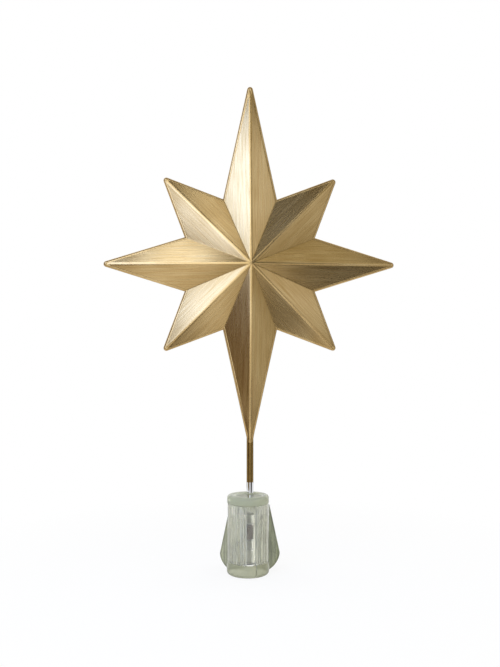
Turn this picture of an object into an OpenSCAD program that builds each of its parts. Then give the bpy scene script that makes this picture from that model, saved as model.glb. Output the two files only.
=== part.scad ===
// Christmas tree topper: an eight-pointed faceted star on a stem, held by a sprung clip.
// The front looks along -Y. The origin is on the stem's axis, at the lower end of the grip fins.

/* [Star] */
// Reach of the top and bottom points from the star's centre
ray_up = 155.3; // [145:0.1:170]
// Reach of the left and right points from the star's centre
ray_side = 127; // [115:0.1:139]
// Reach of the diagonal points from the star's centre
ray_diag = 105.5; // [95:0.1:115]
// Distance of the inner corners from the star's centre
corner_r = 61.7; // [54:0.1:68]
// Rise of each shell's middle above the seam
star_rise = 20; // [15:0.1:26]
// Rounding radius of the points
point_r = 2.5; // [2:0.1:4]
// Thickness of the sheet brass
sheet_t = 0.6; // [0.4:0.05:0.8]

/* [Star rim] */
// Width of the sloping rim, seen from the front
rim_w = 2.2; // [1.6:0.1:3]
// Height of the rim's shoulder above the seam
rim_h = 2.4; // [1.8:0.1:3]
// Height of the rim's straight edge beside the seam
rim_edge = 0.8; // [0.5:0.05:1.2]

/* [Stem] */
// Outer diameter of the brass tube
stem_d = 6; // [5:0.1:7]
// Wall of the brass tube
stem_wall = 0.7; // [0.5:0.05:1]
// Height of the star's centre above the foot of the tube
stem_reach = 190; // [175:0.1:230]
// Distance of the tube's top below the star's centre
stem_stop = 35; // [20:1:50]
// Height over which the rounded tongues of the bottom point wrap the tube
tongue_h = 16; // [12:0.5:22]
// Place of the lower bracket, as a share of the way from the star's centre to its bottom point
bracket_low_share = 0.8; // [0.72:0.005:0.83]
// Place of the upper bracket, as a share of the same way
bracket_high_share = 0.425; // [0.38:0.005:0.55]
// Thickness of the brackets
bracket_t = 1.2; // [0.8:0.1:2]
// Length of the drawn neck of the brackets
bracket_neck = 3; // [2:0.5:5]

/* [Post] */
// Diameter of the chrome post
post_d = 6.2; // [5.6:0.1:7]
// Height of the post that shows between the cap and the tube
post_show = 11.1; // [8:0.1:16]
// Depth of the post's seat in the cap
post_seat = 14.6; // [10:0.1:18]
// Length of the tenon that reaches up into the tube
tenon_len = 30; // [20:1:45]

/* [Sleeve] */
// Outer diameter of the closed sleeve
sleeve_d = 35.6; // [33:0.1:39]
// Wall of the sleeve
sleeve_wall = 1.6; // [1.2:0.1:2.2]
// How far the sleeve's own axis lies left of the stem's axis
sleeve_shift = 1.75; // [0:0.05:2.5]
// Height of the sleeve's top above the grip fins' lower end
sleeve_h = 50.8; // [48:0.1:60]
// Height of the plain collar below the fins
collar_h = 11; // [8:0.5:14]
// Outer diameter of the collar
collar_d = 37.2; // [35.6:0.1:39.5]
// Rounding radius of the collar's lower edge
collar_round = 3; // [2:0.1:4]
// Height of the collar's widest part
collar_band = 6; // [4:0.5:7.5]
// Angle of the front seam, to the right of the front
seam_angle = 20; // [14:1:26]
// Angle between neighbouring ribs
rib_pitch = 8; // [7:0.5:12]
// Width of a rib
rib_w = 1; // [0.7:0.1:1.3]
// Height of a rib above the wall
rib_rise = 1.2; // [0.8:0.1:1.6]
// Diameter of the circle on which the tips of the grip fins lie
grip_d = 13; // [11:0.5:15]
// Thickness of a grip fin
fin_w = 1.6; // [1.2:0.1:2]
// Grip fins on each jaw
fin_count = 5; // [4:1:6]

/* [Lap lip] */
// Overlap of the lip behind the seam, as an angle
lap_angle = 7.5; // [5:0.5:9]
// Thickness of the lip
lap_t = 1; // [0.8:0.1:1.4]

/* [Wings] */
// Thickness of a finger wing
wing_t = 1.8; // [1.4:0.1:2.4]
// Sideways place of a wing's root
wing_root_x = 15.5; // [14.5:0.1:16]
// Distance of a wing's root behind the stem's axis
wing_root_y = 4; // [2:0.5:8]
// Sideways reach of the left wing's tip, on the wider jaw
left_wing_x = 24.6; // [22:0.1:28]
// Sideways reach of the right wing's tip
right_wing_x = 28.3; // [25:0.1:31]
// Distance of a wing's tip behind the stem's axis
wing_tip_y = 32; // [28:0.5:36]
// Height of a wing's upper end
wing_top = 48; // [40:0.5:49.5]
// Height of a wing's widest point
wing_wide = -1; // [-4:0.5:4]
// Height of a wing's lower edge
wing_foot = -9.5; // [-10.5:0.1:-6]

/* [Cap] */
// Outer diameter of the cap
cap_d = 36.6; // [35:0.1:40]
// Height of the cap's rim
cap_h = 6.6; // [5:0.1:8]
// Rounding radius of the cap's upper edge
cap_round = 2.5; // [1.5:0.1:3.5]
// Thickness of the cap's top and of its rim
cap_wall = 2.2; // [1.8:0.1:3]
// Diameter of the hub that holds the post
hub_d = 13; // [11:0.5:15]
// Thickness of the hub below the post
hub_floor = 1.7; // [1.2:0.1:3]
// Thickness of the webs between the hub and the rim
web_t = 1.4; // [1:0.1:2]
// Webs under the cap's top
web_count = 6; // [4:1:8]

/* [Hinge] */
// Distance of the hinge pin behind the stem's axis
hinge_y = 18.5; // [18:0.1:20]
// Diameter of the hinge pin
pin_d = 3.6; // [3:0.1:4]
// Outer diameter of the hinge knuckles
knuckle_d = 9; // [8:0.1:9.6]
// Height of the lowest knuckle, on the right jaw
knuckle_1_h = 11.8; // [9:0.1:14]
// Height of the second knuckle, on the left jaw
knuckle_2_h = 8.7; // [6:0.1:10]
// Height of the third knuckle, on the right jaw
knuckle_3_h = 7.3; // [6:0.1:9]
// Diameter of the push-on retainer
retainer_d = 9; // [7:0.1:9.4]
// Thickness of the retainer
retainer_t = 0.8; // [0.5:0.1:1.2]
// Length of pin that stands below the retainer
pin_foot = 1; // [0.5:0.1:1.5]
// Height of the pin's foot above the sleeve's foot
pin_lift = 2; // [1:0.1:2.5]
// Length of pin inside the cap's lug
pin_seat = 4.8; // [3:0.1:5.5]

/* [Spring] */
// Diameter of the spring's wire
wire_d = 1.3; // [1:0.05:1.4]
// Radius of the coil, to the middle of the wire
coil_r = 3.6; // [3.5:0.05:3.8]
// Rise of one turn
coil_pitch = 1.9; // [1.85:0.05:2.2]
// Whole turns of the coil
coil_turns = 7; // [5:1:8]
// Length of leg past the point where it touches the jaw
leg_over = 2.5; // [1:0.1:4]

/* [Fit] */
// Gap between parts that move past each other
move_gap = 0.3; // [0.25:0.05:0.5]
// Radial clearance of the pin in the knuckles and of the tenon in the tube
turn_play = 0.05; // [0.03:0.01:0.08]
// Gap between the cap and the top of the sleeve
cap_gap = 0.5; // [0.3:0.1:1]
// Gap between the lap lip and the wall in front of it
lap_gap = 0.7; // [0.6:0.05:0.9]
// Gap between the spring's legs and the jaws at rest
leg_gap = 0.2; // [0.15:0.05:0.3]
// Gap between the brackets and the shells
bracket_gap = 0.15; // [0.1:0.05:0.3]

/* [Hidden] */
// Facets of true round shapes, and sections of short rounded edges
$fn = 96;
ARC_STEPS = 4;
// Overrun of a cut past the surface it leaves
over = 1;
// Depth to which joined shapes run into each other
sink = 0.5;
// Smallest rounding radius left at a point
least_r = 0.3;

// Space between the top of the fins and the hub
fin_top_gap = 2.5;
// How far the cap's locating ring and hinge lug reach down into the sleeve
ring_drop = 1;
// How far the ring stays off the sleeve's wall, so that the opening jaws pass it
ring_gap = 1.3;
// Thickness of the ring
ring_t = 1.4;
// How far the lap lip stops below the ring
lip_drop = 1.8;
// Diameter of the small hole in the lap lip
lip_hole_d = 1.3;
// Height of that hole above the fins' lower end
lip_hole_z = 27;
// Shares of a wing's length: where its round lower edge starts, and where its top ends
wing_belly_share = 0.27;
wing_top_share = 0.09;

// Heights of the clip, from the foot up
foot_z = -collar_h;
pin_z = foot_z + pin_lift;
retainer_z = pin_z + pin_foot;
k1_z = retainer_z + retainer_t + move_gap;
k2_z = k1_z + knuckle_1_h + move_gap;
coil_z = k2_z + knuckle_2_h + move_gap;

// Places in plan: the sleeve's own axis and the hinge axis
sleeve_c = [-sleeve_shift, 0];
hinge_c = [0, hinge_y];
sleeve_r = sleeve_d / 2;
sleeve_ri = sleeve_r - sleeve_wall;

// Legs of the spring: common tangents of the coil and of a circle just outside the sleeve
leg_circle_r = sleeve_r + leg_gap + wire_d / 2;
hinge_span = norm(sleeve_c - hinge_c);
hinge_dir = atan2(sleeve_c[1] - hinge_c[1], sleeve_c[0] - hinge_c[0]);
leg_spread = asin((leg_circle_r - coil_r) / hinge_span);
leg_len = hinge_span * cos(leg_spread) + leg_over;
left_leg_dir = hinge_dir - leg_spread;
right_leg_dir = hinge_dir + leg_spread;
coil_start = left_leg_dir - 90;
coil_end = right_leg_dir + 90;
coil_sweep = coil_start - coil_end + 360 * (coil_turns + 1);
coil_h = coil_pitch * coil_sweep / 360 + wire_d;

// Upper heights of the clip
k3_z = coil_z + coil_h + move_gap;
k4_z = k3_z + knuckle_3_h + move_gap;
ring_z = sleeve_h - ring_drop;
rib_top = ring_z - move_gap;
knuckle_4_h = rib_top - k4_z;
lip_top = ring_z - lip_drop;
pin_top = ring_z + pin_seat;
cap_z = sleeve_h + cap_gap;
cap_top = cap_z + cap_h;
post_z = cap_top - post_seat;
hub_z = post_z - hub_floor;
fin_top = hub_z - fin_top_gap;

// Heights of the stem and the star
shoulder_z = cap_top + post_show;
star_z = shoulder_z + stem_reach;
stem_r = stem_d / 2;
tenon_r = stem_r - stem_wall - turn_play;

// Angles round the sleeve or the stem, from the front and to the right
hinge_angle = hinge_dir + 270;
window_angle = 10;
hinge_bare_angle = 17;
fin_front_angle = 38;
fin_back_angle = 30;
lip_root_angle = 6;

// Star outline: eight rays, each a rounded point between two inner corners
function polar(r, a) = [r * cos(a), r * sin(a)];
function ray_len(k) = k % 2 == 1 ? ray_diag : k % 4 == 0 ? ray_side : ray_up;
function ray_dir(k) = k * 45;
function point_c(k) = polar(ray_len(k) - point_r, ray_dir(k));
function corner(k) = polar(corner_r, ray_dir(k) + ray_dir(1) / 2);

// Angle from a ray's axis to the normal of its straight edges
function edge_turn(k) =
  let (run = corner_r * cos(ray_dir(1) / 2) - (ray_len(k) - point_r),
       side = corner_r * sin(ray_dir(1) / 2))
  atan2(side, run) - acos(point_r / norm([run, side]));

// Rounding radius and centre of a point, with the outline drawn in by inset
function inset_r(inset) = max(point_r - inset, least_r);
function inset_c(k, inset) =
  point_c(k) + polar((point_r - inset - inset_r(inset)) / cos(edge_turn(k)), ray_dir(k));

// Where the edges of two neighbouring rays cross
function inset_corner(k, inset) =
  let (a = ray_dir(k) + edge_turn(k), b = ray_dir(k + 1) - edge_turn(k + 1),
       n = polar(1, a), m = polar(1, b),
       p = n * point_c(k) + point_r - inset,
       q = m * point_c(k + 1) + point_r - inset,
       det = n[0] * m[1] - n[1] * m[0])
  [(p * m[1] - q * n[1]) / det, (n[0] * q - m[0] * p) / det];

function star_outline(inset) =
  [for (k = [0 : 7], i = [0 : ARC_STEPS + 1])
    i > ARC_STEPS
      ? inset_corner(k, inset)
      : inset_c(k, inset)
        + polar(inset_r(inset), ray_dir(k) + edge_turn(k) * (2 * i / ARC_STEPS - 1))];

// Heights of the sheet: the rim's slope, and how far the inner face lies under the outer one
rim_slope = atan2(rim_h - rim_edge, rim_w);
sheet_drop = sheet_t / cos(rim_slope);
function rim_rise(inset) = rim_edge + inset * tan(rim_slope);

// A faceted half star between the seam and its apex, from rings of [inset, height]
module faceted_half(rings, apex) {
  n = len(star_outline(0));
  points = concat(
    [for (r = rings, p = star_outline(r[0])) [p[0], -r[1], p[1]]],
    [[0, -rings[0][1], 0], [0, -apex, 0]]);
  last = (len(rings) - 1) * n;
  middle = len(rings) * n;
  faces = concat(
    [for (r = [0 : len(rings) - 2], j = [0 : n - 1])
      [r * n + j, (r + 1) * n + j, (r + 1) * n + (j + 1) % n, r * n + (j + 1) % n]],
    [for (j = [0 : n - 1]) [j, (j + 1) % n, middle]],
    [for (j = [0 : n - 1]) [last + j, middle + 1, last + (j + 1) % n]]);
  translate([0, 0, star_z]) polyhedron(points, faces);
}

// One pressed shell, facing -Y, with its tongue over the front of the tube
module shell() {
  color([0.71, 0.58, 0.36]) {
    difference() {
      faceted_half([[0, 0], [0, rim_edge], [rim_w, rim_h]], star_rise);
      faceted_half([[sheet_t, -over],
                    [sheet_t, rim_rise(sheet_t) - sheet_drop],
                    [rim_w, rim_h - sheet_drop]], star_rise - sheet_drop);
      translate([0, 0, star_z - ray_up - over]) cylinder(h = ray_up - stem_stop + over, d = stem_d);
    }
    tongue();
  }
}

module tongue() {
  tongue_r = stem_r + sheet_t;
  intersection() {
    translate([0, 0, star_z - ray_up]) {
      difference() {
        cylinder(h = tongue_h, r = tongue_r);
        translate([0, 0, -over]) cylinder(h = tongue_h + 2 * over, r = stem_r);
      }
    }
    translate([0, 0, star_z]) rotate([90, 0, 0]) {
      linear_extrude(tongue_r + over) polygon(star_outline(0));
    }
  }
}

module star_front_shell() {
  shell();
}

module star_back_shell() {
  mirror([0, 1, 0]) shell();
}

module stem_tube() {
  color([0.5, 0.4, 0.24])
    translate([0, 0, shoulder_z]) difference() {
      cylinder(h = stem_reach - stem_stop, d = stem_d);
      translate([0, 0, -over])
        cylinder(h = stem_reach - stem_stop + 2 * over, r = stem_r - stem_wall);
    }
}

// Half width of the bottom ray's hollow, at a distance below the star's centre
function hollow_w(down, inset) =
  (point_r - inset + cos(edge_turn(2)) * (ray_up - point_r - down)) / sin(edge_turn(2));

// Half depth of the bottom ray's hollow along its ridge
function hollow_d(down) =
  let (tip = norm(inset_c(2, rim_w)) + inset_r(rim_w))
  star_rise - sheet_drop - (star_rise - rim_h) * down / tip;

// A sheet bracket that fills the hollow's section and holds the tube in a drawn neck
module bracket(down) {
  low = down + bracket_t;
  w = hollow_w(low, sheet_t) - bracket_gap;
  shoulder_w = hollow_w(low, rim_w) - bracket_gap;
  edge_d = rim_rise(sheet_t) - sheet_drop - bracket_gap;
  shoulder_d = rim_h - sheet_drop - bracket_gap;
  ridge_d = hollow_d(low) - bracket_gap;
  color([0.6, 0.58, 0.55])
    translate([0, 0, star_z - down]) difference() {
      union() {
        translate([0, 0, -bracket_t]) linear_extrude(bracket_t)
          polygon([[w, -edge_d], [w, edge_d], [shoulder_w, shoulder_d], [0, ridge_d],
                   [-shoulder_w, shoulder_d], [-w, edge_d], [-w, -edge_d],
                   [-shoulder_w, -shoulder_d], [0, -ridge_d], [shoulder_w, -shoulder_d]]);
        translate([0, 0, -bracket_t]) cylinder(h = bracket_neck, r = stem_r + bracket_t);
      }
      translate([0, 0, -bracket_t - over])
        cylinder(h = bracket_neck + 2 * over, d = stem_d);
    }
}

module stem_bracket_lower() {
  bracket(ray_up * bracket_low_share);
}

module stem_bracket_upper() {
  bracket(ray_up * bracket_high_share);
}

// Chrome post with a chamfered foot, a shoulder under the tube and a slim tenon inside it
module steel_post() {
  chamfer = post_d / 12;
  color([0.8, 0.8, 0.82]) rotate_extrude() polygon([
    [0, post_z], [post_d / 2 - chamfer, post_z], [post_d / 2, post_z + chamfer],
    [post_d / 2, shoulder_z], [tenon_r, shoulder_z],
    [tenon_r, shoulder_z + tenon_len - chamfer],
    [tenon_r - chamfer, shoulder_z + tenon_len], [0, shoulder_z + tenon_len]]);
}

// Quarter of a round edge as [radius, height] points, from one angle to another
function edge_arc(c, r, a, b) =
  [for (i = [0 : ARC_STEPS]) c + polar(r, a + (b - a) * i / ARC_STEPS)];

module at_sleeve() {
  translate([sleeve_c[0], sleeve_c[1], 0]) children();
}

module at_hinge(z) {
  translate([hinge_c[0], hinge_c[1], z]) children();
}

// Clear cap: a shallow cup with a hub for the post, webs, a locating ring and the hinge lug
module clip_cap() {
  cap_r = cap_d / 2;
  rim_ri = cap_r - cap_wall;
  ring_ro = sleeve_ri - ring_gap;
  color([0.82, 0.86, 0.78, 0.5]) difference() {
    union() {
      at_sleeve() {
        rotate_extrude() polygon(concat(
          [[0, cap_top - cap_wall], [rim_ri, cap_top - cap_wall], [rim_ri, cap_z],
           [cap_r, cap_z]],
          edge_arc([cap_r - cap_round, cap_top - cap_round], cap_round, 0, 90),
          [[0, cap_top]]));
        translate([0, 0, ring_z]) difference() {
          cylinder(h = cap_top - cap_wall + sink - ring_z, r = ring_ro);
          translate([0, 0, -over])
            cylinder(h = cap_h + 2 * over, r = ring_ro - ring_t);
        }
        for (i = [0 : web_count - 1]) rotate([0, 0, (i + 0.5) * 360 / web_count])
          translate([0, -web_t / 2, cap_z])
            cube([rim_ri + sink, web_t, cap_h - cap_wall + sink]);
      }
      translate([0, 0, hub_z]) cylinder(h = cap_top - hub_z - cap_wall + sink, d = hub_d);
      at_hinge(ring_z) cylinder(h = cap_top - cap_round / 2 - ring_z, d = knuckle_d);
    }
    translate([0, 0, post_z]) cylinder(h = post_seat + over, r = post_d / 2 + turn_play);
    at_hinge(ring_z - over) cylinder(h = pin_seat + over, d = pin_d);
  }
}

// Plan of one jaw's side, between the seam's line at the front and the hinge's line at the back
module jaw_side(way) {
  far = 2 * sleeve_d;
  seam = sleeve_c + polar(far, seam_angle - 90);
  hinge = sleeve_c + polar(far, hinge_angle - 90);
  translate([way * move_gap / 2, 0, foot_z - over])
    linear_extrude(sleeve_h - foot_z + 2 * over)
      polygon([sleeve_c, seam, [way * far, seam[1]], [way * far, hinge[1]], hinge]);
}

// The closed sleeve: a plain wall over a slightly wider collar with an inturned foot
module sleeve_ring() {
  collar_r = collar_d / 2;
  foot_ri = collar_r - collar_round - sleeve_wall / 2;
  at_sleeve() rotate_extrude() polygon(concat(
    [[foot_ri, foot_z]],
    edge_arc([collar_r - collar_round, foot_z + collar_round], collar_round, -90, 0),
    [[collar_r, foot_z + collar_band], [sleeve_r, 0], [sleeve_r, sleeve_h],
     [sleeve_ri, sleeve_h], [sleeve_ri, foot_z + collar_round],
     [foot_ri, foot_z + sleeve_wall]]));
}

// Upright ribs inside the wall
module ribs(angles) {
  at_sleeve() for (a = angles) rotate([0, 0, a - 90])
    translate([sleeve_ri - rib_rise, -rib_w / 2, 0])
      cube([rib_rise + sink, rib_w, rib_top]);
}

// Deep fins that point at the stem's axis, with their tips on the grip circle
module fins(angles) {
  difference() {
    intersection() {
      for (a = angles) rotate([0, 0, a - 90]) translate([0, -fin_w / 2, 0])
        cube([sleeve_d, fin_w, fin_top]);
      at_sleeve() cylinder(h = fin_top, r = sleeve_ri + sink);
    }
    translate([0, 0, -over]) cylinder(h = fin_top + 2 * over, d = grip_d);
  }
}

// Finger wing, a shark's fin that sweeps out and back from its jaw
module wing(way) {
  tip_x = way < 0 ? left_wing_x : right_wing_x;
  run = [tip_x - wing_root_x, wing_tip_y - wing_root_y];
  wing_len = norm(run);
  belly = wing_len * wing_belly_share;
  steps = 2 * ARC_STEPS;
  curve = [for (i = [0 : steps])
    [belly + (wing_len - belly) * sin(90 * i / steps),
     wing_wide - (wing_wide - wing_foot) * cos(90 * i / steps)]];
  difference() {
    mirror([way < 0 ? 1 : 0, 0, 0]) translate([wing_root_x, wing_root_y, 0])
      rotate([90, 0, atan2(run[1], run[0])]) translate([0, 0, -wing_t / 2])
        linear_extrude(wing_t)
          polygon(concat([[-sleeve_wall, wing_foot]], curve,
                         [[wing_len * wing_top_share, wing_top],
                          [-sleeve_wall, wing_top]]));
    at_sleeve() translate([0, 0, foot_z])
      cylinder(h = sleeve_h - foot_z, r = sleeve_ri + sink);
  }
}

// A wedge of the sleeve between two angles
module wedge(a, b, h) {
  linear_extrude(h) polygon([[0, 0], polar(sleeve_d, a - 90), polar(sleeve_d, b - 90)]);
}

// Lip of the right jaw, which lies behind the left jaw's edge and covers the seam
module lap_lip() {
  lip_ro = sleeve_ri - lap_gap;
  lip_ri = lip_ro - lap_t;
  root = seam_angle + 1;
  at_sleeve() difference() {
    union() {
      intersection() {
        cylinder(h = lip_top, r = lip_ro);
        wedge(seam_angle - lap_angle, root + sink, lip_top);
      }
      intersection() {
        cylinder(h = lip_top, r = sleeve_ri + sink);
        wedge(root, seam_angle + lip_root_angle, lip_top);
      }
    }
    translate([0, 0, -over]) cylinder(h = lip_top + 2 * over, r = lip_ri);
    rotate([0, 0, seam_angle - lap_angle / 2 - 90]) translate([lip_ri - over, 0, lip_hole_z])
      rotate([0, 90, 0]) cylinder(h = lap_t + 2 * over, d = lip_hole_d);
  }
}

// The hinge's space in a jaw, over the bands that belong to other pieces
module hinge_space(bands) {
  for (b = bands) at_hinge(b[0]) cylinder(h = b[1] - b[0], r = knuckle_d / 2 + move_gap);
}

// One jaw: its half of the sleeve with ribs, fins and wing, and its own knuckles
module jaw(way, rib_angles, knuckles, bands) {
  fin_step = (180 - fin_front_angle - fin_back_angle) / (fin_count - 1);
  color([0.8, 0.84, 0.76, 0.5]) difference() {
    union() {
      difference() {
        union() {
          intersection() {
            sleeve_ring();
            jaw_side(way);
          }
          ribs(rib_angles);
          fins([for (i = [0 : fin_count - 1]) way * (fin_front_angle + i * fin_step)]);
          wing(way);
          if (way > 0) lap_lip();
        }
        hinge_space(bands);
      }
      for (k = knuckles) at_hinge(k[0]) cylinder(h = k[1], d = knuckle_d);
    }
    at_hinge(foot_z - over)
      cylinder(h = sleeve_h - foot_z + 2 * over, r = pin_d / 2 + turn_play);
  }
}

module left_jaw() {
  jaw(-1,
      [for (a = -window_angle; a > hinge_angle - 360 + hinge_bare_angle; a = a - rib_pitch) a],
      [[k2_z, knuckle_2_h], [k4_z, knuckle_4_h]],
      [[foot_z - over, k2_z], [k2_z + knuckle_2_h, k4_z],
       [k4_z + knuckle_4_h, sleeve_h + over]]);
}

module right_jaw() {
  jaw(1,
      [for (a = seam_angle + rib_pitch; a < hinge_angle - hinge_bare_angle; a = a + rib_pitch) a],
      [[k1_z, knuckle_1_h], [k3_z, knuckle_3_h]],
      [[foot_z - over, k1_z], [k1_z + knuckle_1_h, k3_z],
       [k3_z + knuckle_3_h, sleeve_h + over]]);
}

module hinge_pin() {
  color([0.6, 0.6, 0.62]) at_hinge(pin_z) cylinder(h = pin_top - pin_z, d = pin_d);
}

module pin_retainer() {
  color([0.12, 0.12, 0.13]) at_hinge(retainer_z) difference() {
    cylinder(h = retainer_t, d = retainer_d);
    translate([0, 0, -over]) cylinder(h = retainer_t + 2 * over, d = pin_d);
  }
}

// Middle line of the spring: left leg, coil from the bottom up, right leg
RINGS_A_TURN = 8;
COIL_RINGS = ceil(RINGS_A_TURN * coil_sweep / 360);
function coil_point(i) =
  let (t = i / COIL_RINGS, p = hinge_c + polar(coil_r, coil_start - coil_sweep * t))
  [p[0], p[1], coil_z + wire_d / 2 + (coil_h - wire_d) * t];
function leg_point(from, dir, run) =
  let (p = polar(run, dir)) from + [p[0], p[1], 0];
spring_line = concat(
  [leg_point(coil_point(0), left_leg_dir, leg_len),
   leg_point(coil_point(0), left_leg_dir, leg_len - wire_d)],
  [for (i = [0 : COIL_RINGS]) coil_point(i)],
  [leg_point(coil_point(COIL_RINGS), right_leg_dir, leg_len - wire_d),
   leg_point(coil_point(COIL_RINGS), right_leg_dir, leg_len)]);

// Least gap of the wire to itself, between points more than half a turn apart
spring_gap = min([for (i = [0 : len(spring_line) - 6], j = [i + 5 : len(spring_line) - 1])
                   norm(spring_line[i] - spring_line[j])]) - wire_d;
echo("least gap of the spring's wire to itself, mm", spring_gap);

// A tube of six sides along a line that never runs straight up
WIRE_SIDES = 6;
function unit(v) = v / norm(v);
function tube_ring(line, i) =
  let (t = unit(line[min(i + 1, len(line) - 1)] - line[max(i - 1, 0)]),
       side = unit(cross([0, 0, 1], t)),
       up = cross(t, side))
  [for (k = [0 : WIRE_SIDES - 1])
    line[i] + wire_d / 2 * (cos(k * 360 / WIRE_SIDES) * side + sin(k * 360 / WIRE_SIDES) * up)];

module torsion_spring() {
  n = WIRE_SIDES;
  last = (len(spring_line) - 1) * n;
  points = [for (i = [0 : len(spring_line) - 1], p = tube_ring(spring_line, i)) p];
  sides = [for (i = [0 : len(spring_line) - 2], k = [0 : n - 1], half = [0, 1])
    let (a = i * n + k, b = i * n + (k + 1) % n)
    half == 0 ? [a, a + n, b] : [b, a + n, b + n]];
  color([0.45, 0.36, 0.3]) polyhedron(points, concat(
    sides,
    [[for (k = [0 : n - 1]) k]],
    [[for (k = [n - 1 : -1 : 0]) last + k]]));
}

star_front_shell();
star_back_shell();
stem_tube();
stem_bracket_lower();
stem_bracket_upper();
steel_post();
clip_cap();
left_jaw();
right_jaw();
hinge_pin();
torsion_spring();
pin_retainer();
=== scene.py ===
import math

import bmesh
import bpy
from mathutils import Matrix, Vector


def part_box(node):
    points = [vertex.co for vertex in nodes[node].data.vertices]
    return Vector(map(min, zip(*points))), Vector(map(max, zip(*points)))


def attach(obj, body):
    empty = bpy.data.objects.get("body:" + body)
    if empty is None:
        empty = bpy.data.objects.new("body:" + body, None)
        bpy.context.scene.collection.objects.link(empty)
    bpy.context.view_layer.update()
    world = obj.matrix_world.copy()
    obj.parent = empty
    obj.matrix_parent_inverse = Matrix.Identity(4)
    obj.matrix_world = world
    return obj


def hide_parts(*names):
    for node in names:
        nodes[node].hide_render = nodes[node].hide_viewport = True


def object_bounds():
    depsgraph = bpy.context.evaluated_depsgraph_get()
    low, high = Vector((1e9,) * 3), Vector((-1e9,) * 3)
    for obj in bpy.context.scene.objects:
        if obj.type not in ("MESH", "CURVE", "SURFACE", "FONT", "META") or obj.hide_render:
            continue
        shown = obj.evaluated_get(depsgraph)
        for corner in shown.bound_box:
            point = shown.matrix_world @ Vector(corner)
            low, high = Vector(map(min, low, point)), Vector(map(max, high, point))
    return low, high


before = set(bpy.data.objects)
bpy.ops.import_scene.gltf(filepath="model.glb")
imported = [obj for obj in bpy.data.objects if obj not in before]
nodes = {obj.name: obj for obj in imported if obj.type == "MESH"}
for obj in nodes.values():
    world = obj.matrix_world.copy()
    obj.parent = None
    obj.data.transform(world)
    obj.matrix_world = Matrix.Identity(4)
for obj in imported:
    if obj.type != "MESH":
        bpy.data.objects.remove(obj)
cad_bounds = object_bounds()
MM = 0.001
WHITE = (1, 1, 1, 1)


# Sizes of the star, as in the CAD model. The reaches come from the shell's box.
shell_low, shell_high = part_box("star_front_shell")
STAR_Z = (shell_low.z + shell_high.z) / 2
RAY_UP = (shell_high.z - shell_low.z) / 2
RAY_SIDE = shell_high.x
STAR_RISE = -shell_low.y
RAY_DIAG = 105.5 * MM
CORNER_R = 61.7 * MM
POINT_R = 2.5 * MM
LEAST_R = 0.3 * MM
RIM_W = 2.2 * MM
RIM_H = 2.4 * MM
TUBE_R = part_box("stem_tube")[1].x
SHEET = 0.6 * MM
TONGUE_H = 16 * MM
RAYS = 8
RAY_STEP = math.tau / RAYS
BOTTOM_RAY = 6

# Half widths over which the pressed ridges and valleys are rounded
RIDGE_W = 1.6 * MM
VALLEY_W = 0.45 * MM
# Rolled rim, from the facets outwards: distance from the outline, height, and patina with painted
# shade, darkest in the groove beside the facets and at the seam
RIM_PROFILE = [
    (2.0 * MM, 2.27 * MM, 0.8),
    (1.75 * MM, 2.24 * MM, 0.4),
    (1.4 * MM, 2.2 * MM, 0.05),
    (1.0 * MM, 2.0 * MM, 0.0),
    (0.5 * MM, 1.6 * MM, 0.0),
    (0.15 * MM, 1.1 * MM, 0.1),
    (0.0 * MM, 0.7 * MM, 0.3),
    (0.02 * MM, 0.2 * MM, 0.6),
    (0.35 * MM, 0.04 * MM, 1.0),
]
# Rows of the rim that turn in towards the seam between the two shells
SEAM_ROWS = 2
# Places of the rows along a ray
ROW_SHARES = [0.008, 0.016, 0.026, 0.04, 0.06, 0.085, 0.12, 0.16, 0.21, 0.27, 0.34, 0.41,
              0.48, 0.55, 0.62, 0.69, 0.76, 0.82, 0.875, 0.92, 0.955, 0.98, 0.993, 1.0]
# Columns across half a ray: shares of the point's round, then distances from ridge and valley
ARC_SHARES = [0, 0.25, 0.5, 0.75, 1]
RIDGE_COLUMNS = [0.45 * MM, 0.8 * MM, 1.15 * MM, 1.5 * MM, 1.85 * MM]
MIDDLE_COLUMNS = 4
VALLEY_COLUMNS = [0.7 * MM, 0.45 * MM, 0.22 * MM, 0]
# Largest shares of the facet that those beside the ridge and the valley take, near the centre
RIDGE_REACH_SHARE = 0.6
VALLEY_REACH_SHARE = 0.3
STAR_WELD = 0.02 * MM

# Patina with painted shade in the valleys and at the facets' outer edge
PATINA_AND_SHADE_REACH = 0.7 * MM
EDGE_PATINA_AND_SHADE = 0.6
# Painted shade beside the valleys, and a darker tone towards the points
VALLEY_SHADE_REACH = 14 * MM
DARK_TIP_SHARE = 0.7
VALLEY_SHADE_AND_TIP_DARKNESS = 0.6
# Distance in the grain's own map between one facet and the next
GRAIN_STEP = 0.31


def polar(r, a):
    return Vector((r * math.cos(a), r * math.sin(a)))


def ray_len(k):
    if k % 2:
        return RAY_DIAG
    return RAY_UP if k % 4 else RAY_SIDE


def ray_dir(k):
    return k * RAY_STEP


def edge_turn(k):
    """Angle from a ray's axis to the normal of its straight edges."""
    run = CORNER_R * math.cos(RAY_STEP / 2) - (ray_len(k) - POINT_R)
    side = CORNER_R * math.sin(RAY_STEP / 2)
    return math.atan2(side, run) - math.acos(POINT_R / math.hypot(run, side))


def inset_r(inset):
    """Radius of a ray's point, on a line that far inside the outline."""
    return max(POINT_R - inset, LEAST_R)


def inset_centre(k, inset):
    """Centre of the round of that point."""
    shift = (POINT_R - inset - inset_r(inset)) / math.cos(edge_turn(k))
    return polar(ray_len(k) - POINT_R + shift, ray_dir(k))


def inset_corner(k, way, inset):
    """Where the edge of ray k on its side way crosses the edge of the next ray."""
    n = polar(1, ray_dir(k) + way * edge_turn(k))
    m = polar(1, ray_dir(k + way) - way * edge_turn(k + way))
    p = n.dot(polar(ray_len(k) - POINT_R, ray_dir(k))) + POINT_R - inset
    q = m.dot(polar(ray_len(k + way) - POINT_R, ray_dir(k + way))) + POINT_R - inset
    det = n.x * m.y - n.y * m.x
    return Vector(((p * m.y - q * n.y) / det, (n.x * q - m.x * p) / det))


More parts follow.
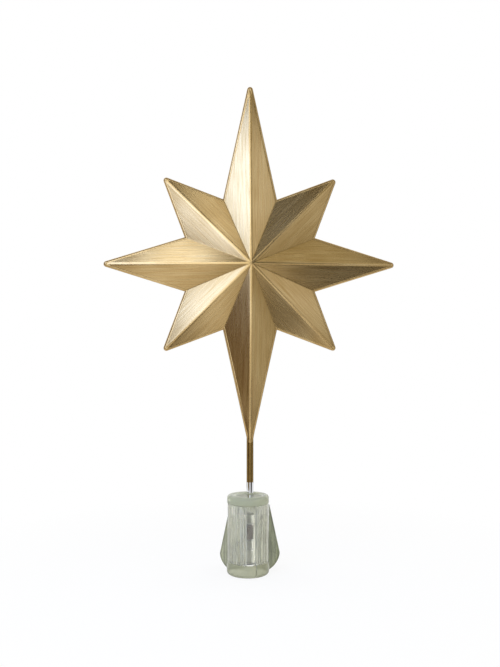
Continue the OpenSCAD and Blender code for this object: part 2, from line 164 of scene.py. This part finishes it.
def outline_point(k, way, inset, place):
    """A point of half a ray's outline: place runs from -1 to 0 round the point, then to 1."""
    turn = edge_turn(k)
    share = min(place + 1, 1)
    on_arc = inset_centre(k, inset) + polar(inset_r(inset), ray_dir(k) + way * turn * share)
    if place <= 0:
        return on_arc
    return on_arc.lerp(inset_corner(k, way, inset), place)


def slope(k, way):
    """Fall of one facet, as a vector in the star's plane."""
    tip = outline_point(k, way, RIM_W, -1)
    corner = inset_corner(k, way, RIM_W)
    fall = STAR_RISE - RIM_H
    det = tip.x * corner.y - tip.y * corner.x
    return Vector((fall * (corner.y - tip.y) / det, fall * (tip.x - corner.x) / det))


def facet_height(k, way, p):
    """Height of a facet at p, rounded towards its ridge and its valley."""
    own = slope(k, way)
    ridge = own - slope(k, -way)
    valley = own - slope(k + way, -way)
    blend = ridge.length * RIDGE_W
    h = STAR_RISE - own.dot(p)
    h -= max(blend - abs(ridge.dot(p)), 0) ** 2 / (4 * blend)
    blend = valley.length * VALLEY_W
    return h + max(blend - abs(valley.dot(p)), 0) ** 2 / (4 * blend)


def round_tongue(k, p, h, r):
    """Raises the lower point over the round of the tube."""
    if k != BOTTOM_RAY or abs(p.x) >= r or p.y > TONGUE_H - RAY_UP:
        return h
    return max(h, math.sqrt(r * r - p.x * p.x))


def column_places(k, way, row):
    """Places of the columns on the facets' outer edge, for a row at that share of the ray."""
    turn = edge_turn(k)
    axis = polar(1, ray_dir(k))
    corner = inset_corner(k, way, RIM_W)
    foot = inset_r(RIM_W) * math.sin(turn)
    width = abs(axis.x * corner.y - axis.y * corner.x)
    edge = (corner - outline_point(k, way, RIM_W, 0)).normalized()
    valley = corner.normalized()
    lean = abs(edge.x * valley.y - edge.y * valley.x)
    run = (width - foot) / abs(axis.x * edge.y - axis.y * edge.x)

    def place(d):
        return (d - foot) / (width - foot)

    arc = [share - 1 for share in ARC_SHARES]
    count = len(RIDGE_COLUMNS)
    ridge = [min(place(d / row), RIDGE_REACH_SHARE * (i + 1) / count)
             for i, d in enumerate(RIDGE_COLUMNS)]
    count = len(VALLEY_COLUMNS) - 1
    dale = [1 - min(d / (row * lean * run), VALLEY_REACH_SHARE * (count - i) / count)
            for i, d in enumerate(VALLEY_COLUMNS)]
    step = (dale[0] - ridge[-1]) / (MIDDLE_COLUMNS + 1)
    middle = [ridge[-1] + step * (i + 1) for i in range(MIDDLE_COLUMNS)]
    return arc + ridge + middle + dale


def half_ray(bm, k, way, uv, patina_and_shade, valley_shade_and_dark_tips):
    """One facet of the star with its stretch of rim."""
    axis = polar(1, ray_dir(k))
    across = polar(1, ray_dir(k) + way * math.pi / 2)
    valley = inset_corner(k, way, RIM_W).normalized()
    facet_index = 2 * k + (way > 0)

    def off_valley(p):
        return abs(p.x * valley.y - p.y * valley.x)

    def vertex(p, h, patina_shade_amount):
        v = bm.verts.new((p.x, -h, STAR_Z + p.y))
        v[patina_and_shade] = patina_shade_amount
        # Painted shade that fades away from the valley line, and a darker tone over the outer share
        # of the ray
        tip = (p.length / ray_len(k) - DARK_TIP_SHARE) / (1 - DARK_TIP_SHARE)
        v[valley_shade_and_dark_tips] = VALLEY_SHADE_AND_TIP_DARKNESS * max(1 - off_valley(p) / VALLEY_SHADE_REACH, tip, 0)
        return v

    def grain(p):
        return (p.dot(axis), p.dot(across) + facet_index * GRAIN_STEP)

    rows = []
    for row in ROW_SHARES:
        line = []
        for place in column_places(k, way, row):
            p = row * outline_point(k, way, RIM_W, place)
            h = round_tongue(k, p, facet_height(k, way, p), TUBE_R + SHEET)
            # Patina with painted shade in the valley crease and along the facets' outer edge
            patina_shade_amount = EDGE_PATINA_AND_SHADE if row == 1 else max(0, 1 - off_valley(p) / PATINA_AND_SHADE_REACH)
            line.append((vertex(p, h, patina_shade_amount), grain(p)))
        rows.append(line)
    last = len(RIM_PROFILE) - SEAM_ROWS
    # Rim rows, with patina and painted shade from the profile
    for i, (inset, height, patina_shade_amount) in enumerate(RIM_PROFILE):
        r = TUBE_R + (SHEET if i < last else 0)
        line = []
        for place in column_places(k, way, 1):
            p = outline_point(k, way, inset, place)
            line.append((vertex(p, round_tongue(k, p, height, r), patina_shade_amount), grain(p)))
        rows.append(line)
    centre = Vector((0, 0))
    apex = (vertex(centre, facet_height(k, way, centre), 0), grain(centre))

    def face(corners):
        if way < 0:
            corners = corners[::-1]
        f = bm.faces.new([c[0] for c in corners])
        f.smooth = True
        for loop, c in zip(f.loops, corners):
            loop[uv].uv = c[1]

    for a, b in zip(rows[0], rows[0][1:]):
        face([apex, a, b])
    for near, far in zip(rows, rows[1:]):
        for i in range(len(near) - 1):
            face([near[i], far[i], far[i + 1], near[i + 1]])


def new_piece(name, bm):
    mesh = bpy.data.meshes.new(name)
    bm.to_mesh(mesh)
    bm.free()
    piece = bpy.data.objects.new(name, mesh)
    bpy.context.scene.collection.objects.link(piece)
    return piece


def star_shell(name, back):
    """One pressed half of the star, as sixteen facets with rounded ridges and a rolled rim."""
    bm = bmesh.new()
    uv = bm.loops.layers.uv.new("grain")
    patina_and_shade = bm.verts.layers.float.new("patina_and_shade")
    valley_shade_and_dark_tips = bm.verts.layers.float.new("valley_shade_and_dark_tips")
    for k in range(RAYS):
        for way in (-1, 1):
            half_ray(bm, k, way, uv, patina_and_shade, valley_shade_and_dark_tips)
    bmesh.ops.remove_doubles(bm, verts=bm.verts, dist=STAR_WELD)
    if back:
        for v in bm.verts:
            v.co.y = -v.co.y
        bmesh.ops.reverse_faces(bm, faces=bm.faces)
    return new_piece(name, bm)


# Places of the two colours in a mix node's list of inputs
MIX_A = 6
MIX_B = 7


def socket(tree, node, name, value):
    """Links a node's output, or sets a plain value, on another node's input."""
    target = node.inputs[name]
    if isinstance(value, bpy.types.NodeSocket):
        tree.links.new(value, target)
    else:
        target.default_value = value


def add(tree, kind, **inputs):
    """A new node with its inputs set; keys that are no inputs are the node's own settings."""
    node = tree.nodes.new(kind)
    for name, value in inputs.items():
        if name in node.bl_rna.properties:
            setattr(node, name, value)
    for name, value in inputs.items():
        if name not in node.bl_rna.properties:
            socket(tree, node, int(name[1:]) if name[0] == "_" else name.replace("_", " "), value)
    return node


def calc(tree, operation, *values, clamp=False):
    """A step of arithmetic on outputs or plain numbers."""
    node = add(tree, "ShaderNodeMath", operation=operation, use_clamp=clamp)
    for i, value in enumerate(values):
        socket(tree, node, i, value)
    return node.outputs[0]


def principled(name):
    material = bpy.data.materials.new(name)
    material.use_nodes = True
    return material, material.node_tree, material.node_tree.nodes["Principled BSDF"]


def srgb(r, g, b):
    """A linear colour from the values of a picture, by the curve of the sRGB standard."""
    def channel(c):
        c /= 255
        return c / 12.92 if c <= 0.04045 else ((c + 0.055) / 1.055) ** 2.4
    return (channel(r), channel(g), channel(b), 1)


def noise(tree, vector, scale, detail, stretch=(1, 1, 1)):
    mapped = add(tree, "ShaderNodeMapping", Vector=vector, Scale=stretch)
    texture = add(tree, "ShaderNodeTexNoise", Vector=mapped.outputs["Vector"], Scale=scale,
                  Detail=detail)
    return texture.outputs["Fac"]


def ramp(tree, fac, stops):
    node = add(tree, "ShaderNodeValToRGB", Fac=fac)
    elements = node.color_ramp.elements
    while len(elements) < len(stops):
        elements.new(0.5)
    for element, (position, colour) in zip(elements, stops):
        element.position = position
        element.color = colour
    return node.outputs["Color"]


def mix(tree, fac, a, b):
    """Colour a where fac is 0 and colour b where it is 1."""
    node = add(tree, "ShaderNodeMix", data_type="RGBA")
    socket(tree, node, 0, fac)
    socket(tree, node, MIX_A, a)
    socket(tree, node, MIX_B, b)
    return node.outputs[2]


def spread(tree, value, low, high):
    """A value from 0 to 1, spread from low to high."""
    node = add(tree, "ShaderNodeMapRange", Value=value, _3=low, _4=high)
    return node.outputs["Result"]


def reach(tree, value, start, end):
    """0 where a value is at its start or before it, and 1 from its end on."""
    node = add(tree, "ShaderNodeMapRange", Value=value, _1=start, _2=end)
    return node.outputs["Result"]


def object_place(tree):
    return add(tree, "ShaderNodeTexCoord").outputs["Object"]


# Brass. A noise has a scale, a detail and, for the streaks along the grain, a stretch.
BROAD_STREAKS = (1.0, 2.0, (16, 420, 1))
FINE_STREAKS = (1.0, 1.0, (40, 1100, 1))
BRASS_CLOUDS = (28.0, 2.0)
BROAD_SHARE = 0.35
FINE_SHARE = 0.35
CLOUD_SHARE = 0.3
BRASS_DARK = (0.34, srgb(176, 144, 90))
BRASS_MIDDLE = (0.5, srgb(199, 169, 117))
BRASS_LIGHT = (0.68, srgb(214, 187, 136))
# Colour of the painted shade beside the valleys and of the darker points, and how far the streaks
# break it up
BRASS_SHADE_AND_TIP_COLOUR = srgb(144, 110, 52)
DARKENING_BY_STREAK = (-0.2, 1.3)
# Colour and share of the patina and painted shade in the creases, the rim's groove and the seam
PATINA_AND_SHADE_COLOUR = srgb(92, 66, 30)
PATINA_AND_SHADE_SHARE = 0.4
BRASS_ROUGH = (0.24, 0.3)
GRAIN_STRENGTH = 0.3
GRAIN_DEPTH = 0.03 * MM


def brushed_brass(name):
    """Brushed, lacquered antique brass; the grain follows each ray."""
    material, tree, shader = principled(name)
    grain = add(tree, "ShaderNodeUVMap", uv_map="grain").outputs["UV"]
    broad = noise(tree, grain, *BROAD_STREAKS)
    fine = noise(tree, grain, *FINE_STREAKS)
    cloud = noise(tree, object_place(tree), *BRASS_CLOUDS)
    tone = calc(tree, "MULTIPLY_ADD", cloud, CLOUD_SHARE, spread(tree, broad, 0.0, BROAD_SHARE))
    tone = calc(tree, "MULTIPLY_ADD", fine, FINE_SHARE, tone)
    colour = ramp(tree, tone, [BRASS_DARK, BRASS_MIDDLE, BRASS_LIGHT])
    # Painted shade beside the valleys and a darker tone towards the points, broken up by the streaks
    valley_shade_and_dark_tips = add(tree, "ShaderNodeAttribute", attribute_name="valley_shade_and_dark_tips").outputs["Fac"]
    valley_shade_and_dark_tips = calc(tree, "MULTIPLY", valley_shade_and_dark_tips, spread(tree, broad, *DARKENING_BY_STREAK), clamp=True)
    colour = mix(tree, valley_shade_and_dark_tips, colour, BRASS_SHADE_AND_TIP_COLOUR)
    # Patina with painted shade in the creases, the rim's groove and the seam
    patina_shade_amount = add(tree, "ShaderNodeAttribute", attribute_name="patina_and_shade").outputs["Fac"]
    colour = mix(tree, calc(tree, "MULTIPLY", patina_shade_amount, PATINA_AND_SHADE_SHARE), colour, PATINA_AND_SHADE_COLOUR)
    socket(tree, shader, "Base Color", colour)
    shader.inputs["Metallic"].default_value = 1.0
    socket(tree, shader, "Roughness", spread(tree, broad, *BRASS_ROUGH))
    bump = add(tree, "ShaderNodeBump", Strength=GRAIN_STRENGTH, Distance=GRAIN_DEPTH, Height=broad)
    socket(tree, shader, "Normal", bump.outputs["Normal"])
    return material


# Clear plastic: its clouds, and how far haze and roughness vary with them
PLASTIC_CLOUDS = (70.0, 3.0)
PLASTIC_DARK_AT = 0.38
PLASTIC_LIGHT_AT = 0.6
HAZE_SPREAD = 0.3
GLOSS_SPREAD = 0.4
# Distances from the middle over which a wing's plastic turns from clear to its olive tone
WING_ROOT = 11 * MM
WING_FREE = 16.5 * MM
WING_INSIDE = (0.9, 0.9, 0.8)
WING_DEPTH = 0.4
WING_STREAKS = (4, 4, 0.7)


def clear_plastic(name, colour, haze, rough, ior, depth=0.06, stretch=(1, 1, 1), root=None):
    """Clear moulded plastic with an olive cast, whose haze takes light as a solid colour does."""
    material, tree, shader = principled(name)
    place = object_place(tree)
    cloud = noise(tree, place, *PLASTIC_CLOUDS, stretch)
    shade = [c * (1 - depth) for c in colour] + [1]
    bright = [min(c * (1 + depth / 2), 1) for c in colour] + [1]
    tint = ramp(tree, cloud, [(PLASTIC_DARK_AT, shade), (PLASTIC_LIGHT_AT, bright)])
    if root:
        side = add(tree, "ShaderNodeSeparateXYZ", Vector=place).outputs["X"]
        out = reach(tree, calc(tree, "ABSOLUTE", side), WING_ROOT, WING_FREE)
        tint = mix(tree, out, (*root, 1), tint)
    socket(tree, shader, "Base Color", tint)
    shader.inputs["IOR"].default_value = ior
    clear = spread(tree, cloud, 1 - haze * (1 + HAZE_SPREAD), 1 - haze * (1 - HAZE_SPREAD))
    socket(tree, shader, "Transmission Weight", clear)
    gloss = spread(tree, cloud, rough * (1 - GLOSS_SPREAD), rough * (1 + GLOSS_SPREAD))
    socket(tree, shader, "Roughness", gloss)
    return material


def wing_plastic(name, colour):
    """Plastic of a wing, streaked from top to bottom and clear where it grows from the sleeve."""
    return clear_plastic(name, colour, haze=0.3, rough=0.2, ior=1.06, depth=WING_DEPTH,
                         stretch=WING_STREAKS, root=WING_INSIDE)


# Plain metals
METAL_MARKS = (90.0, 3.0)
METAL_DARK_AT = 0.3
METAL_LIGHT_AT = 0.65
METAL_ROUGH_SPREAD = 0.2


def metal(name, colour, rough, stretch=(1, 1, 1), variation=0.25):
    """Plain metal with fine marks from drawing or turning."""
    material, tree, shader = principled(name)
    marks = noise(tree, object_place(tree), *METAL_MARKS, stretch)
    shade = [c * (1 - variation) for c in colour[:3]] + [1]
    tint = ramp(tree, marks, [(METAL_DARK_AT, shade), (METAL_LIGHT_AT, colour)])
    socket(tree, shader, "Base Color", tint)
    shader.inputs["Metallic"].default_value = 1.0
    socket(tree, shader, "Roughness", spread(tree, marks, rough * (1 - METAL_ROUGH_SPREAD),
                                             rough * (1 + METAL_ROUGH_SPREAD)))
    return material


def dress(name, material):
    """Gives a CAD node its material."""
    node = nodes[name]
    node.data.materials.clear()
    node.data.materials.append(material)


# Sizes of the clip, as in the CAD model
SLEEVE_R = 17.8 * MM
SLEEVE_SHIFT = 1.75 * MM
SLEEVE_WALL = 1.6 * MM
RIB_RISE = 1.2 * MM
COLLAR_RISE = 0.8 * MM
JAW_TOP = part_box("left_jaw")[1].z
KNUCKLE_R = 4.5 * MM
# Height below which the collar turns in towards its foot
FOOT_TURN_Z = -8 * MM
SURFACE_GAP = 0.1 * MM
# Least lean, up or down, of the faces round a wing's edge
WING_LEAN = 0.12
CLIP_WELD = 0.002 * MM
SHARP_ANGLE = math.radians(28)

# Places of the clip's plastics in the list of its materials
SKIN, EDGE, INSIDE, LEFT_WING_LIT, RIGHT_WING_SHADED, WING_EDGE, CAP, COLLAR = range(8)


def make_plastics():
    """The clip's plastics, in the order of their places."""
    return [
        clear_plastic("clear plastic skin", (0.985, 0.985, 0.91), haze=0.08, rough=0.03, ior=1.3),
        clear_plastic("clear plastic edge", (0.98, 0.98, 0.9), haze=0.75, rough=0.15, ior=1.3),
        clear_plastic("clear plastic inside", (0.985, 0.985, 0.91), haze=0.1, rough=0.05, ior=1.1),
        # The two wings are one plastic, painted lighter on the left and darker on the right as light
        # and shade fall
        wing_plastic("clear plastic left wing painted lit", (0.44, 0.46, 0.32)),
        wing_plastic("clear plastic right wing painted shade", (0.29, 0.31, 0.19)),
        clear_plastic("clear plastic wing edge", (0.2, 0.22, 0.1), haze=0.4, rough=0.15, ior=1.2),
        clear_plastic("clear plastic cap", (0.73, 0.745, 0.57), haze=0.38, rough=0.06, ior=1.22),
        clear_plastic("clear plastic collar", (0.44, 0.44, 0.28), haze=0.65, rough=0.06, ior=1.3),
    ]


def plastic_at(place, normal):
    """Which plastic a face has, from how deep it lies inside the sleeve."""
    depth = SLEEVE_R - math.hypot(place.x + SLEEVE_SHIFT, place.y)
    if place.z > JAW_TOP:
        return CAP
    if depth < -COLLAR_RISE - SURFACE_GAP:
        if abs(place.x) < KNUCKLE_R:
            return INSIDE
        if abs(normal.z) > WING_LEAN:
            return WING_EDGE
        # The left wing takes the plastic painted lit, the right one the plastic painted with shade
        return LEFT_WING_LIT if place.x < 0 else RIGHT_WING_SHADED
    underneath = place.z < FOOT_TURN_Z and normal.z < 0
    if depth < SURFACE_GAP or underneath:
        return SKIN if place.z > 0 else COLLAR
    in_wall = depth < SLEEVE_WALL - SURFACE_GAP
    on_rib = abs(depth - SLEEVE_WALL - RIB_RISE) < SURFACE_GAP
    return EDGE if in_wall or on_rib else INSIDE


def copy_node(name, piece_name):
    """A copy of a clear CAD node with one closed skin, smooth across its round faces."""
    bm = bmesh.new()
    bm.from_mesh(nodes[name].data)
    bmesh.ops.remove_doubles(bm, verts=bm.verts, dist=CLIP_WELD)
    for face in bm.faces:
        face.smooth = True
        face.material_index = plastic_at(face.calc_center_median(), face.normal)
    piece = new_piece(piece_name, bm)
    piece.data.set_sharp_from_angle(angle=SHARP_ANGLE)
    return piece


# Sizes of the spring and its hinge, as in the CAD model
pin_low, pin_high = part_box("hinge_pin")
HINGE = Vector(((pin_low.x + pin_high.x) / 2, (pin_low.y + pin_high.y) / 2, 0))
WIRE_D = 1.3 * MM
COIL_R = 3.6 * MM
COIL_TURNS = 7
LEG_GAP = 0.2 * MM
LEG_OVER = 2.5 * MM
# Fineness of the wire, along it and round it
RINGS_A_TURN = 32
WIRE_ROUNDING = 4
# Stretch of the coil that each leg takes with it
ROOT_TURN = math.radians(50)

# Each leg runs along a line that touches the coil and a circle just outside the sleeve
spring_low, spring_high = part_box("torsion_spring")
coil_low = spring_low.z + WIRE_D / 2
coil_high = spring_high.z - WIRE_D / 2
hinge_to_sleeve = Vector((-SLEEVE_SHIFT, 0, 0)) - HINGE
hinge_dir = math.atan2(hinge_to_sleeve.y, hinge_to_sleeve.x)
leg_circle_r = SLEEVE_R + LEG_GAP + WIRE_D / 2
leg_spread = math.asin((leg_circle_r - COIL_R) / hinge_to_sleeve.length)
leg_len = hinge_to_sleeve.length * math.cos(leg_spread) + LEG_OVER
left_leg_dir = hinge_dir - leg_spread
right_leg_dir = hinge_dir + leg_spread
coil_start = left_leg_dir - math.pi / 2
coil_end = right_leg_dir + math.pi / 2
coil_sweep = coil_start - coil_end + math.tau * (COIL_TURNS + 1)


def coil_point(turned):
    """A point of the coil, after that angle from its start."""
    p = polar(COIL_R, coil_start - turned)
    z = coil_low + (coil_high - coil_low) * turned / coil_sweep
    return HINGE + Vector((p.x, p.y, z))


def coil_points(start, end):
    count = max(2, math.ceil(RINGS_A_TURN * abs(end - start) / math.tau))
    return [coil_point(start + (end - start) * i / count) for i in range(count + 1)]


def wire(name, points):
    """A round wire along those points."""
    curve = bpy.data.curves.new(name, "CURVE")
    curve.dimensions = "3D"
    curve.bevel_depth = WIRE_D / 2
    curve.bevel_resolution = WIRE_ROUNDING
    curve.use_fill_caps = True
    spline = curve.splines.new("POLY")
    spline.points.add(len(points) - 1)
    for point, co in zip(spline.points, points):
        point.co = (*co, 1)
    spline.use_smooth = True
    piece = bpy.data.objects.new(name, curve)
    bpy.context.scene.collection.objects.link(piece)
    return piece


def leg(name, turned, root_turned, direction):
    """A leg of the spring, with the stretch of coil that it grows from."""
    end = coil_point(turned)
    run = polar(leg_len, direction)
    points = coil_points(root_turned, turned)
    return wire(name, points + [end + Vector((run.x, run.y, 0))])


# Camera of the photograph: level, a little left of the front
CAMERA_TURN = math.radians(-3.5)
CAMERA_DISTANCE = 0.748
CAMERA_Z = 0.1988
CAMERA_LENS = 46.15
CAMERA_SENSOR = 36
CAMERA_NEAR = 0.01


def make_camera():
    data = bpy.data.cameras.new("camera")
    data.sensor_fit = "VERTICAL"
    data.sensor_height = CAMERA_SENSOR
    data.lens = CAMERA_LENS
    data.clip_start = CAMERA_NEAR
    camera = bpy.data.objects.new("camera", data)
    camera.location = (CAMERA_DISTANCE * math.sin(CAMERA_TURN),
                       -CAMERA_DISTANCE * math.cos(CAMERA_TURN), CAMERA_Z)
    camera.rotation_euler = (math.pi / 2, 0, CAMERA_TURN)
    bpy.context.scene.collection.objects.link(camera)
    bpy.context.scene.camera = camera


# Floor: how far it lies below the object and reaches, and how much of its white takes shadow
FLOOR_DROP = 0.05 * MM
FLOOR_REACH = 3.0
FLOOR_ROUGH = 0.9
SHADOW_SHARE = 0.12
# Distances from the stem over which the floor's shadow fades out
SHADOW_NEAR = 0.05
SHADOW_FAR = 0.35


def seen_ray(tree):
    """1 for rays from the camera, and for what metal and clear plastic show."""
    path = add(tree, "ShaderNodeLightPath")
    glossy = calc(tree, "MAXIMUM", path.outputs["Is Camera Ray"], path.outputs["Is Glossy Ray"])
    return calc(tree, "MAXIMUM", glossy, path.outputs["Is Transmission Ray"])


def glow(tree, colour):
    """Light of that colour, at a strength of 1."""
    return add(tree, "ShaderNodeEmission", Color=colour, Strength=1.0).outputs[0]


def mix_shaders(tree, fac, a, b):
    node = add(tree, "ShaderNodeMixShader", _0=fac)
    tree.links.new(a, node.inputs[1])
    tree.links.new(b, node.inputs[2])
    return node.outputs[0]


def show(tree, shader):
    """Makes a shader the material's surface."""
    tree.links.new(shader, tree.nodes["Material Output"].inputs["Surface"])


def white_ground(name):
    """White to the camera and to reflections; near the object a share takes light and shadow."""
    material, tree, shader = principled(name)
    material.cycles.emission_sampling = "NONE"
    shader.inputs["Base Color"].default_value = WHITE
    shader.inputs["Roughness"].default_value = FLOOR_ROUGH
    away = add(tree, "ShaderNodeVectorMath", operation="LENGTH", _0=object_place(tree))
    glow_share = add(tree, "ShaderNodeMapRange", Value=away.outputs["Value"], _1=SHADOW_NEAR,
                     _2=SHADOW_FAR, _3=1 - SHADOW_SHARE, _4=1.0)
    lit = mix_shaders(tree, glow_share.outputs["Result"], shader.outputs[0], glow(tree, WHITE))
    show(tree, mix_shaders(tree, seen_ray(tree), shader.outputs[0], lit))
    return material


def plane(name, corners, material):
    """A flat piece of the stage."""
    bm = bmesh.new()
    bm.faces.new([bm.verts.new(c) for c in corners])
    piece = new_piece(name, bm)
    piece.data.materials.append(material)
    return piece


def make_stage():
    z = cad_bounds[0].z - FLOOR_DROP
    corners = [(-FLOOR_REACH, -FLOOR_REACH, z), (FLOOR_REACH, -FLOOR_REACH, z),
               (FLOOR_REACH, FLOOR_REACH, z), (-FLOOR_REACH, FLOOR_REACH, z)]
    plane("floor", corners, white_ground("floor white"))


# Cards and softboxes of the studio, which the brass mirrors: place, width, height, brightness.
# The upper ones face the star, and the others stand upright.
CARDS = {
    "front softbox": ((-0.13, -0.8, 0.43), 0.66, 0.76, (1.85, 2.0, 2.25)),
    "left softbox": ((-0.328, -0.293, 0.496), 0.212, 0.201, (2.5, 3.3, 6.0)),
    "left lower softbox": ((-0.25, -0.301, 0.289), 0.153, 0.185, (2.3, 2.85, 4.6)),
    "left flag": ((-0.304, -0.249, 0.106), 0.322, 0.283, (0.14, 0.08, 0.0)),
    "top left softbox": ((-0.185, -0.3, 0.613), 0.092, 0.205, (3.0, 3.35, 4.2)),
    "top right softbox": ((0.112, -0.316, 0.731), 0.088, 0.239, (2.25, 2.35, 2.5)),
    "top far right card": ((0.182, -0.218, 0.563), 0.166, 0.42, (0.57, 0.55, 0.44)),
    "right card": ((0.363, -0.271, 0.43), 0.295, 0.347, (0.98, 1.02, 1.11)),
    "right lower card": ((0.37, -0.255, 0.159), 0.354, 0.329, (0.58, 0.58, 0.55)),
}
# The same for the back of the star, which otherwise mirrors a plain white room
REAR_CARDS = {
    "rear right card": ((0.34, 0.29, 0.43), 0.28, 0.34, (0.22, 0.21, 0.18)),
    "rear right lower card": ((0.36, 0.27, 0.13), 0.3, 0.3, (0.12, 0.11, 0.09)),
    "rear top card": ((0.12, 0.3, 0.66), 0.16, 0.26, (0.4, 0.39, 0.36)),
    "rear left lower card": ((-0.3, 0.28, 0.12), 0.26, 0.28, (0.3, 0.29, 0.26)),
    "rear low card": ((0.03, 0.4, 0.02), 0.2, 0.16, (0.5, 0.5, 0.47)),
}
UPPER_Z = 0.55
# Dark cards that lie in front of the object: left, right, front and rear edge
FLOOR_FLAGS = {
    "middle floor flag": (-0.073, 0.028, -0.568, -0.182),
    "right floor flag": (0.15, 0.418, -0.526, -0.162),
}
FLAG_LIFT = 0.011
FLAG_COLOUR = (0.02, 0.015, 0.01)


def card(name, corners, brightness, mirrored_only):
    """A card that the camera doesn't see, and that is perhaps seen in reflections only."""
    material, tree, _ = principled(name)
    show(tree, glow(tree, (*brightness, 1)))
    piece = plane(name, corners, material)
    piece.visible_camera = False
    piece.visible_shadow = False
    if mirrored_only:
        piece.visible_transmission = False
        piece.visible_diffuse = False


def standing_card(name, place, width, height, brightness):
    """A card that faces the star, or the stem at its own height."""
    place = Vector(place)
    aim = Vector((0, 0, STAR_Z if place.z > UPPER_Z else place.z))
    facing = (aim - place).normalized()
    side = Vector((0, 0, 1)).cross(facing).normalized() * width / 2
    up = facing.cross(side).normalized() * height / 2
    corners = [place - side - up, place + side - up, place + side + up, place - side + up]
    card(name, corners, brightness, name in REAR_CARDS)


def make_cards():
    for name, (place, width, height, brightness) in (CARDS | REAR_CARDS).items():
        standing_card(name, place, width, height, brightness)
    z = cad_bounds[0].z + FLAG_LIFT
    for name, (left, right, front, rear) in FLOOR_FLAGS.items():
        corners = [(left, front, z), (right, front, z), (right, rear, z), (left, rear, z)]
        card(name, corners, FLAG_COLOUR, True)


# Dark room on the camera's side, and the Y of a direction over which it turns to white
ROOM_COLOUR = (0.03, 0.025, 0.02, 1)
ROOM_DARK_Y = -0.25
ROOM_WHITE_Y = 0.1


def make_world():
    """White to the camera, through clear plastic and behind the object, and a dark room in front."""
    world = bpy.data.worlds.new("world")
    bpy.context.scene.world = world
    world.use_nodes = True
    tree = world.node_tree
    background = tree.nodes["Background"]
    facing = add(tree, "ShaderNodeTexCoord").outputs["Generated"]
    split = add(tree, "ShaderNodeSeparateXYZ", Vector=facing)
    behind = reach(tree, split.outputs["Y"], ROOM_DARK_Y, ROOM_WHITE_Y)
    path = add(tree, "ShaderNodeLightPath")
    direct = calc(tree, "MAXIMUM", path.outputs["Is Camera Ray"],
                  path.outputs["Is Transmission Ray"])
    white = calc(tree, "MAXIMUM", direct, behind)
    socket(tree, background, "Color", mix(tree, white, ROOM_COLOUR, WHITE))
    background.inputs["Strength"].default_value = 1.0


make_camera()
make_stage()
make_world()
make_cards()

# Star
brass = brushed_brass("brushed brass")
for node_name, back in (("star_front_shell", False), ("star_back_shell", True)):
    shell = star_shell("star_back" if back else "star_front", back)
    shell.data.materials.append(brass)
    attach(shell, "star")
    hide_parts(node_name)

# Metal pieces that stay as they are in the CAD model
steel = metal("bright steel", srgb(170, 170, 176), rough=0.2, stretch=(1, 1, 60))
dress("stem_tube", metal("dark brass", srgb(132, 106, 60), 0.22, stretch=(1, 1, 4), variation=0.1))
dress("stem_bracket_lower", steel)
dress("stem_bracket_upper", steel)
dress("steel_post", metal("chrome", srgb(225, 226, 228), rough=0.05, variation=0.06))
dress("hinge_pin", steel)
dress("pin_retainer", metal("blackened steel", srgb(52, 52, 56), rough=0.35))

# Clip
plastics = make_plastics()
for node_name, body in (("clip_cap", "clip"), ("left_jaw", "jaw_left"), ("right_jaw", "jaw_right")):
    piece = copy_node(node_name, node_name + "_clear")
    for plastic in plastics:
        piece.data.materials.append(plastic)
    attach(piece, body)
    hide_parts(node_name)

# Spring: its coil stays with the clip, and each leg turns with its own jaw
spring_steel = metal("spring steel", srgb(160, 136, 112), rough=0.25)
for piece, body in (
        (wire("spring_coil", coil_points(0, coil_sweep)), "clip"),
        (leg("spring_leg_left", 0, ROOT_TURN, left_leg_dir), "jaw_left"),
        (leg("spring_leg_right", coil_sweep, coil_sweep - ROOT_TURN, right_leg_dir), "jaw_right")):
    piece.data.materials.append(spring_steel)
    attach(piece, body)
    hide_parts("torsion_spring")

bpy.context.scene.view_settings.view_transform = "Standard"
